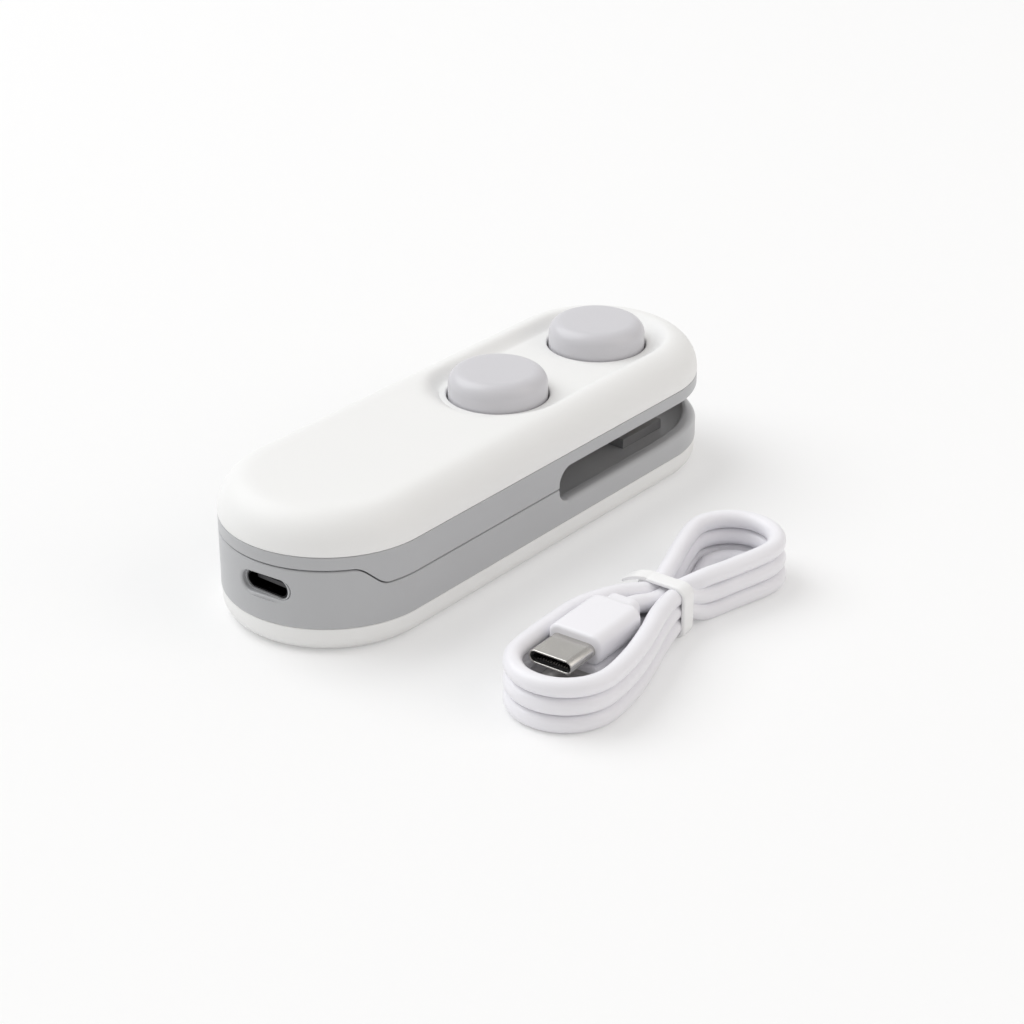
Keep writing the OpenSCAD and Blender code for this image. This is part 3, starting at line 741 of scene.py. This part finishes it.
    def cover_section(self, ray: Station) -> Section:
        """Outline of the top cover."""
        edge = self.plan.r_out - self.plan.inset
        low = self.plan.band_z + 0.02
        seam = arc(edge - self.seam, low + self.seam, self.seam, -90, 0, 7)
        bend = self.plan.r_out - self.crown_r
        reach = self.crown_r - self.plan.inset
        side = [bend + reach * math.cos(math.radians(a)) for a in spread(0.0, 60.0, 14)][1:]
        inner = spread(side[-1], 8.0, 40)[1:] + [5.0, 2.5, 0.0]
        top = [(r, self.crown(ray, r)) for r in side + inner]
        return [(0.0, -1.0), (17.45, -1.0), (17.45, low)] + seam + [(edge, 18.6)] + top

    def hole_tool(self, x: float) -> bpy.types.Object:
        """Cutter for a button's hole, with a rounded mouth."""
        floor, reach = self.plan.dish_z - self.plan.inset, self.hole_r + 0.01
        flare = arc(reach + self.mouth, floor - self.mouth, self.mouth, 180, 90, 7)
        return lathe("hole_tool", x, [(0.0, 19.0), (reach, 19.0)] + flare + [(reach + 0.4, 27.0), (0.0, 27.0)])

    def port_tool(self) -> bpy.types.Object:
        """Cutter for the recess round the charging port, with a rounded mouth that follows the rear end."""
        half_h = self.port_h / 2 + 0.01
        half_w = self.port_w / 2 + 0.01 - half_h
        ring = [(half_w + y, z, y / half_h, z / half_h) for y, z in arc(0, 0, half_h, -90, 90, 25)]
        ring += [(-half_w + y, z, y / half_h, z / half_h) for y, z in arc(0, 0, half_h, 90, 270, 25)]
        depths = [self.port_edge * (1 - math.cos(math.radians(a))) for a in spread(90.0, 0.0, 8)]
        rings = [[(-54.81, self.port_y + y, self.port_z + z) for y, z, _, _ in ring]]
        for depth in depths + [-2.0]:
            left = self.port_edge - max(depth, 0.0)
            out = self.port_edge - math.sqrt(max(0.0, self.port_edge ** 2 - left ** 2))
            points = []
            for y, z, ny, nz in ring:
                y, z = self.port_y + y + ny * out, z + nz * out
                surface = -37.0 - math.sqrt(18.97 ** 2 - y * y)
                points.append((surface + depth, y, self.port_z + z))
            rings.append(points)
        return build("port_tool", [p for r in rings for p in r], skin(rings, False, True))

    def assemble(self) -> None:
        """Trims, dresses and places the four housing pieces."""
        rows = (
            ("bottom_cover", self.base_section, "cover_white", COVER),
            ("lower_shell", self.lower_section, "body_grey", SHELL),
            ("upper_shell", self.upper_section, "body_grey", SHELL),
            ("top_cover", self.cover_section, "cover_white", COVER),
        )
        for node, section, slot, finish in rows:
            piece = plain_copy(node, f"{node}_skin")
            tools = [("INTERSECT", self.plan.loft("envelope", section))]
            if node == "top_cover":
                tools += [("DIFFERENCE", self.hole_tool(x)) for x in (self.plan.cut_x, self.plan.seal_x)]
            if node == "lower_shell":
                tools.append(("DIFFERENCE", self.port_tool()))
            carve(piece, tools)
            smooth(piece)
            hand_over(piece, Body.HOUSING, slot, finish, node)


@dataclass
class Buttons:
    """The sealing and the cutting button."""

    seal_x: float = 37.0
    cut_x: float = 7.6
    cap_r: float = 8.98
    edge: float = 2.7
    top: float = 27.8
    low: float = 20.5
    flange_r: float = 10.3
    flange_top: float = 21.3
    wall: float = 1.4
    ceiling: float = 25.8
    boss_r: float = 4.0
    boss_low: float = 21.5
    socket_r: float = 2.52
    socket_top: float = 25.44
    notch: tuple[float, float, float] = (30.8, 3.2, 22.8)

    def profile(self) -> Section:
        """Outline of a button from the middle of its top round to its socket."""
        crown = arc(self.cap_r - self.edge, self.top - self.edge - 0.02, self.edge, 90, 0, 18)
        inner = self.cap_r - self.wall
        rim = arc(self.flange_r - 0.15, self.flange_top - 0.15, 0.15, 90, 0, 4)
        rim += arc(self.flange_r - 0.15, self.low + 0.15, 0.15, 0, -90, 4)
        fillet = arc(inner - 0.5, self.ceiling - 0.5, 0.5, 0, 90, 6)
        return (
            [(0.0, self.top), (3.5, self.top - 0.004)] + crown + [(self.cap_r, self.flange_top)]
            + rim + [(inner, self.low)] + fillet
            + [(self.boss_r, self.ceiling), (self.boss_r, self.boss_low), (self.socket_r, self.boss_low)]
            + [(self.socket_r, self.socket_top), (0.0, self.socket_top)]
        )

    def notch_tool(self) -> bpy.types.Object:
        """Cutter for the notch in the sealing button's skirt, over the switch."""
        x, y, z = self.notch
        low = [(20.0, -y, 10.0), (x, -y, 10.0), (x, y, 10.0), (20.0, y, 10.0)]
        return build("notch_tool", low + [(a, b, z) for a, b, _ in low], skin([low, low], False, True))

    def assemble(self) -> None:
        """Makes, dresses and places both buttons."""
        seal = lathe("seal_button_cap", self.seal_x, self.profile())
        carve(seal, [("DIFFERENCE", self.notch_tool())])
        cut = lathe("cut_button_cap", self.cut_x, self.profile())
        for piece, body, node in ((seal, Body.SEAL, "seal_button"), (cut, Body.CUT, "cut_button")):
            smooth(piece)
            hand_over(piece, body, "button_grey", BUTTON, node)


@dataclass
class Springs:
    """The two return springs, which shorten on the real sealer as their buttons go down; here each keeps its CAD node's
    shape.
    """

    seat_z: float = 16.9
    travel: float = 3.2
    seal_x: float = 37.0
    cut_x: float = 7.6

    def assemble(self) -> None:
        """Makes both springs from their CAD nodes and dresses them."""
        rows = (("seal_spring", "seal_press", self.seal_x), ("cut_spring", "cut_press", self.cut_x))
        for node, joint, x in rows:
            coil = plain_copy(node, f"{node}_coil")
            smooth(coil, 60.0)
            hand_over(coil, Body.HOUSING, "spring_steel", SPRING, node)
            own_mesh(coil)


# ---------------------------------------------------------------- charging lead


def through(points: Sequence[Point], steps: int = 12) -> list[Point]:
    """A smooth route through points, by centripetal Catmull-Rom.

    Args:
        points: the points to pass through.
        steps: route points for each gap.

    Returns:
        The route.
    """
    vectors = [Vector(p) for p in points]
    vectors = [2 * vectors[0] - vectors[1], *vectors, 2 * vectors[-1] - vectors[-2]]
    route: list[Point] = []
    for a, b, c, d in zip(vectors, vectors[1:], vectors[2:], vectors[3:]):
        t0 = 0.0
        t1 = t0 + (b - a).length ** 0.5
        t2 = t1 + (c - b).length ** 0.5
        t3 = t2 + (d - c).length ** 0.5
        for i in range(steps):
            t = t1 + (t2 - t1) * i / steps
            p1 = (t1 - t) / (t1 - t0) * a + (t - t0) / (t1 - t0) * b
            p2 = (t2 - t) / (t2 - t1) * b + (t - t1) / (t2 - t1) * c
            p3 = (t3 - t) / (t3 - t2) * c + (t - t2) / (t3 - t2) * d
            q1 = (t2 - t) / (t2 - t0) * p1 + (t - t0) / (t2 - t0) * p2
            q2 = (t3 - t) / (t3 - t1) * p2 + (t - t1) / (t3 - t1) * p3
            route.append(tuple((t2 - t) / (t2 - t1) * q1 + (t - t1) / (t2 - t1) * q2))
    route.append(tuple(vectors[-2]))
    return route


@dataclass
class ChargingLead:
    """A white lead wound in a hank of loops, tied at its waist, with a plug at each end."""

    place: Point = (-10.3, -50.0, 0.0)
    turn: float = 3.0
    diameter: float = 3.2
    length: float = 550.0
    levels: tuple[float, ...] = (8.0, 4.8, 1.6)
    waist: tuple[float, ...] = (7.2, 4.8, 2.4)
    waist_v: float = 2.4
    near_x: float = -29.2
    near_r: float = 8.4
    far_x: float = 21.7
    far_r: tuple[float, ...] = (7.5, 7.6, 7.8)
    nested_r: float = 4.7
    tip_x: float = -31.3
    plug_v: float = 1.6
    shell_l: float = 6.65
    shell_w: float = 8.25
    shell_h: float = 2.4
    grip_l: float = 15.1
    grip_w: float = 10.0
    grip_h: float = 5.4
    tie_w: float = 3.0
    tie_t: float = 0.8
    tie_size: float = 9.6

    def laid(self, point: Sequence[float]) -> Point:
        """A point of the hank's own frame in the shared frame."""
        turn = math.radians(self.turn)
        u, v, z = point
        x = self.place[0] + u * math.cos(turn) - v * math.sin(turn)
        y = self.place[1] + u * math.sin(turn) + v * math.cos(turn)
        return x, y, self.place[2] + z

    def back(self) -> float:
        """Where both plugs' grips end."""
        return self.tip_x + self.shell_l + self.grip_l

    def far_loop(self, radius: float, level: float, inner: bool = False) -> list[Point]:
        """Points round the far loop, from its right side to its left."""
        knee, hip = (2.2, 1.4) if inner else (5.3, 3.5)
        bend = [(self.far_x + x, y, level) for x, y in arc(0, 0, radius, -90, 90, 9)]
        out = [(7.0, hip, level), (12.5, knee, level)]
        right = [(u, -v, z) for u, v, z in out]
        return right + bend + list(reversed(out))

    def near_loop(self, level: float) -> list[Point]:
        """Points round the loop by the plugs, from its left side to its right."""
        bend = [(self.near_x + x, y, level) for x, y in arc(0, 0, self.near_r, 90, 270, 11)]
        left = [(-6.5, 5.4, level), (-13.0, 8.1, level), (-21.0, 8.6, level)]
        right = [(-22.0, -7.7, level), (-14.5, -5.9, level), (-8.0, -3.9, level)]
        return left + bend + right

    def route(self) -> list[Point]:
        """The lead's centre line, from the back of one plug to the back of the other."""
        out = self.waist_v
        points: list[Point] = [(self.back(), self.plug_v, 8.1), (-7.0, 1.1, 7.7), (-3.2, 0.2, 6.8)]
        points.append((0.5, -0.2, 6.6))
        for i, level in enumerate(self.levels):
            points += self.far_loop(self.far_r[i], level)
            points += [(0.0, out, self.waist[i])]
            points += self.near_loop(level)
            points += [(0.0, -out, self.waist[i])]
        points += self.far_loop(self.nested_r, 1.6, True)
        points += [(1.5, 0.2, 2.6), (-3.2, 0.2, 2.7), (-7.0, 1.2, 2.7), (self.back(), self.plug_v, 2.7)]
        return [self.laid(p) for p in through(points, 10)]

    def wind(self) -> bpy.types.Object:
        """Makes the lead itself."""
        route = self.route()
        curve = bpy.data.curves.new("charging_cord", "CURVE")
        curve.dimensions = "3D"
        curve.bevel_depth = self.diameter / 2 * MM
        curve.bevel_resolution = 5
        curve.use_fill_caps = True
        line = curve.splines.new("POLY")
        line.points.add(len(route) - 1)
        for spot, (x, y, z) in zip(line.points, route):
            spot.co = (x * MM, y * MM, z * MM, 1.0)
        line.use_smooth = True
        cord = bpy.data.objects.new("charging_cord", curve)
        bpy.context.scene.collection.objects.link(cord)
        hand_over(cord, Body.LEAD, "lead_jacket", JACKET, "lead_hank", "lead_tails")
        return cord

    def pill(self, u: float, width: float, height: float, z: float, corner: float = 0.5) -> list[Point]:
        """A closed outline across the plug: a flat shape with round sides."""
        r = min(height / 2, height * corner)
        half_w, half_h = width / 2 - r, height / 2 - r
        outline: list[Point] = []
        for cy, cz, start in ((half_w, half_h, 0), (-half_w, half_h, 90), (-half_w, -half_h, 180), (half_w, -half_h, 270)):
            for y, dz in arc(cy, cz, r, start, start + 90, 12):
                outline.append(self.laid((u, self.plug_v + y, z + dz)))
        return outline

    def grip(self, name: str, z: float) -> bpy.types.Object:
        """Makes a plug's moulded grip, rounded at the front and stepped down at the back."""
        front, back = self.tip_x + self.shell_l, self.back()
        sections = []
        edge = 0.7
        for angle in spread(0.0, 90.0, 7):
            share = edge * (1 - math.sin(math.radians(angle)))
            sections.append((front + edge * (1 - math.cos(math.radians(angle))), 2 * share, 2 * share))
        shoulder = back - 3.4
        rows = [(u, self.grip_w - 0.04 - 2 * lost, self.grip_h - 0.04 - 2 * lost) for u, lost, _ in
                [(u, lost / 2, 0) for u, lost, _ in sections]]
        for share in spread(0.0, 1.0, 10):
            ease = smoothstep(0.0, 1.0, share)
            rows.append((shoulder + 1.5 * share, self.grip_w - 0.04 - 3.8 * ease, self.grip_h - 0.04 - 0.7 * ease))
        neck_w, neck_h = rows[-1][1], rows[-1][2]
        for angle in spread(0.0, 80.0, 6):
            a = math.radians(angle)
            lost = 0.7 * (1 - math.cos(a))
            rows.append((back - 0.75 + 0.75 * math.sin(a), neck_w - 2 * lost, neck_h - 2 * lost))
        rings = [self.pill(u, w, h, z, 0.34) for u, w, h in rows]
        piece = build(name, [p for ring in rings for p in ring], skin(rings, False, True))
        low, high = front - 1.0, front + 1.04
        hole = [self.pill(u, self.shell_w + 0.02, self.shell_h + 0.02, z) for u in (low, high)]
        carve(piece, [("DIFFERENCE", build("hole", hole[0] + hole[1], skin(hole, False, True)))])
        smooth(piece, 40.0)
        return piece

    def shell(self, name: str, z: float) -> bpy.types.Object:
        """Makes a plug's steel shell, a seamless flat tube with a rolled front rim."""
        front, back = self.tip_x, self.tip_x + self.shell_l + 1.0
        rows = []
        for angle in spread(0.0, 180.0, 9):
            a = math.radians(angle)
            rows.append((front + 0.15 - 0.15 * math.sin(a), 0.15 - 0.15 * math.cos(a)))
        rows = [(back, 0.0)] + rows + [(back - 1.6, 0.3)]
        rings = [self.pill(u, self.shell_w - 2 * lost, self.shell_h - 2 * lost, z) for u, lost in rows]
        piece = build(name, [p for ring in rings for p in ring], skin(rings, False, True))
        smooth(piece, 40.0)
        return piece

    def liner(self, name: str, z: float) -> bpy.types.Object:
        """Makes the black moulding inside a plug's mouth."""
        front, back = self.tip_x + 0.35, self.tip_x + self.shell_l - 0.7
        rows = [(back, 0.32), (front + 0.1, 0.32), (front, 0.42), (front + 0.05, 0.62), (back - 1.0, 0.72)]
        rings = [self.pill(u, self.shell_w - 2 * lost, self.shell_h - 2 * lost, z) for u, lost in rows]
        piece = build(name, [p for ring in rings for p in ring], skin(rings, False, True))
        smooth(piece, 40.0)
        return piece

    def contacts(self, name: str, z: float) -> bpy.types.Object:
        """Makes the two rows of sprung contacts inside a plug's mouth."""
        points: list[Point] = []
        faces: list[tuple[int, ...]] = []
        for side in (-1, 1):
            for i in range(12):
                v = self.plug_v + (i - 5.5) * 0.5
                line = [(0.7, 0.50), (1.0, 0.34), (1.6, 0.30), (2.4, 0.40), (4.4, 0.46)]
                line = [(self.tip_x + u, h) for u, h in line]
                line += [(u, h + 0.1) for u, h in reversed(line)]
                rings = [[self.laid((u, v + w, z + side * h)) for u, h in line] for w in (-0.13, 0.13)]
                first = len(points)
                points += rings[0] + rings[1]
                faces += [tuple(k + first for k in face) for face in skin(rings, False, True)]
        piece = build(name, points, faces)
        smooth(piece, 30.0)
        return piece

    def strap(self) -> bpy.types.Object:
        """Makes the flat strap round the waist, with its loose tail."""
        half, bend = self.tie_size / 2, 2.0
        line: list[tuple[float, float, float, float]] = []
        for cy, cz, start in ((1, 1, 0), (-1, 1, 90), (-1, -1, 180), (1, -1, 270)):
            for y, z in arc(0, 0, 1.0, start, start + 90, 10):
                line.append((cy * (half - bend) + y * bend, cz * (half - bend) + z * bend, y, z))
        edge = 0.36
        flat: Section = []
        for cx, cy, start in ((1, 1, 0), (-1, 1, 90), (-1, -1, 180), (1, -1, 270)):
            x, y = cx * (self.tie_w / 2 - edge), cy * (self.tie_t / 2 - edge)
            flat += arc(x, y, edge, start, start + 90, 4)
        rings = []
        for v, z, nv, nz in line:
            depth = [(u, h - self.tie_t / 2 - 0.02) for u, h in flat]
            rings.append([self.laid((u, v + nv * h, half + z + nz * h)) for u, h in depth])
        points = [p for ring in rings for p in ring]
        faces = skin(rings, True, False)
        size = len(flat)
        faces += [(i * size + size - 1, ((i + 1) % len(rings)) * size + size - 1,
                   ((i + 1) % len(rings)) * size, i * size) for i in range(len(rings))]
        piece = build("lead_strap", points, faces)
        smooth(piece, 50.0)
        return piece

    def strap_tail(self) -> bpy.types.Object:
        """Makes the strap's loose tail, which stands off the waist behind the grip."""
        line = through([(0.2, 2.2, 9.15), (-0.3, 3.8, 9.35), (-1.0, 5.4, 9.2), (-1.8, 6.8, 8.6)], 6)
        rings = []
        for i, (u, v, z) in enumerate(line):
            thick = 0.3 if i < len(line) - 1 else 0.12
            wide = 1.35 if i < len(line) - 1 else 1.15
            flat = [(-wide, -thick), (wide, -thick), (wide + 0.12, 0), (wide, thick), (-wide, thick), (-wide - 0.12, 0)]
            rings.append([self.laid((u + w, v, z + h)) for w, h in flat])
        piece = build("lead_strap_tail", [p for ring in rings for p in ring], skin(rings, False, True))
        smooth(piece, 50.0)
        return piece

    def assemble(self) -> None:
        cord = self.wind()
        strap = self.strap()
        hand_over(strap, Body.LEAD, "lead_strap", STRAP, "lead_tie")
        tail = self.strap_tail()
        hand_over(tail, Body.LEAD, "lead_strap", STRAP)
        for plug, z in (("plug_a", 8.1), ("plug_b", 2.7)):
            rows = (
                (self.grip(f"{plug}_moulding", z), "plug_grip", GRIP, (f"{plug}_grip",)),
                (self.shell(f"{plug}_steel", z), "plug_steel", PLATED, (f"{plug}_shell",)),
                (self.liner(f"{plug}_liner", z), "socket_black", SOCKET, ()),
                (self.contacts(f"{plug}_contacts", z), "plug_steel", PLATED, ()),
            )
            for piece, slot, finish, nodes in rows:
                hand_over(piece, Body.LEAD, slot, finish, *nodes)
        start = tuple(c * MM for c in self.laid((self.back(), self.plug_v, 8.1)))


# ---------------------------------------------------------------- studio


@dataclass
class Studio:
    """Floor, backdrop, lamps and camera."""

    target: Point = (-12.2, -19.0, 13.0)
    azimuth: float = -51.44
    elevation: float = 26.95
    distance: float = 426.0
    lens: float = 87.5
    shift: tuple[float, float] = (0.0, 0.0)
    floor_level: float = 246.0
    world_level: float = 0.56

    def camera(self) -> None:
        """Makes the camera and sets it as the scene's."""
        data = bpy.data.cameras.new("view")
        data.lens = self.lens
        data.sensor_width = 36.0
        data.shift_x, data.shift_y = self.shift
        camera = bpy.data.objects.new("view", data)
        a, e = math.radians(self.azimuth), math.radians(self.elevation)
        back = Vector((math.sin(a) * math.cos(e), -math.cos(a) * math.cos(e), math.sin(e)))
        camera.location = (Vector(self.target) + back * self.distance) * MM
        camera.rotation_euler = (-back).to_track_quat("-Z", "Y").to_euler()
        bpy.context.scene.collection.objects.link(camera)
        bpy.context.scene.camera = camera

    def floor(self) -> None:
        """Makes a pale floor that bends up into a backdrop behind the camera's view."""
        reach, bend = 2600.0, 900.0
        line = [(-reach, 0.0), (reach, 0.0)]
        line += [(reach + bend * math.sin(a), bend * (1 - math.cos(a)))
                 for a in (math.radians(d) for d in spread(6.0, 90.0, 15))]
        line.append((reach + bend, 3600.0))
        turn = math.radians(self.azimuth)
        across, away = (math.cos(turn), math.sin(turn)), (-math.sin(turn), math.cos(turn))
        rings = [[(across[0] * s * 4000 + away[0] * d, across[1] * s * 4000 + away[1] * d, z)
                  for s in (-1, 1)] for d, z in line]
        sweep = build("studio_floor", [p for ring in rings for p in ring], skin(rings, False, False))
        for face in sweep.data.polygons:
            face.use_smooth = True
        graph = Graph("floor_paper")
        tooth = graph.noise(1.5, 3.0)
        level = linear(self.floor_level)
        base = graph.blend(tooth, (level * 0.995,) * 3, (level,) * 3)
        dress_shader = graph.add(
            "ShaderNodeBsdfPrincipled", None, {"Base Color": base, "Roughness": 0.9, "Specular IOR Level": 0.1})
        glow = graph.add("ShaderNodeEmission", None, {"Color": (1.0, 1.0, 1.0, 1.0), "Strength": 1.0})
        path = graph.add("ShaderNodeLightPath")
        seen = Value(graph, path.outputs["Is Camera Ray"]) + Value(graph, path.outputs["Is Glossy Ray"])
        seen = seen + Value(graph, path.outputs["Is Transmission Ray"])
        share = seen * 0.3
        mixed = graph.add("ShaderNodeMixShader", None, {0: share, 1: dress_shader.outputs[0], 2: glow.outputs[0]})
        graph.add("ShaderNodeOutputMaterial", None, {"Surface": mixed.outputs[0]})
        sweep.data.materials.append(graph.material)

    def lamp(self, name: str, place: Point, size: float, power: float, tint: Point) -> None:
        """Adds a square soft lamp that faces the object."""
        data = bpy.data.lights.new(name, "AREA")
        data.shape = "SQUARE"
        data.size = size * MM
        data.energy = power
        data.color = tint
        lamp = bpy.data.objects.new(name, data)
        where = Vector(place) * MM
        lamp.location = where
        lamp.rotation_euler = (Vector((0.0, -0.02, 0.012)) - where).to_track_quat("-Z", "Y").to_euler()
        bpy.context.scene.collection.objects.link(lamp)

    def light(self) -> None:
        """Sets the world and the lamps, and the view transform."""
        world = bpy.data.worlds.new("studio")
        world.use_nodes = True
        shade_node = world.node_tree.nodes["Background"]
        shade_node.inputs["Color"].default_value = (1.0, 0.985, 0.97, 1.0)
        shade_node.inputs["Strength"].default_value = self.world_level
        bpy.context.scene.world = world
        bpy.context.scene.view_settings.view_transform = "Standard"
        self.lamp("key", (-420.0, 1500.0, 1900.0), 2200.0, 41.0, (0.965, 0.985, 1.0))
        self.lamp("fill", (500.0, -1300.0, 900.0), 1200.0, 5.0, (1.0, 0.95, 0.91))


def main() -> None:
    """Builds everything in order."""
    logging.basicConfig(level=logging.INFO, format="%(name)s: %(message)s")
    studio = Studio()
    studio.camera()
    ChargingLead().assemble()
    Housing().assemble()
    Buttons().assemble()
    Springs().assemble()
    for node, finish in INNER_FINISHES.items():
        if not node.startswith("plug_"):
            dress(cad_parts[node], finish)
            LOG.info("%s is dressed", node)
    studio.floor()
    studio.light()


if __name__ == "__main__":
    main()
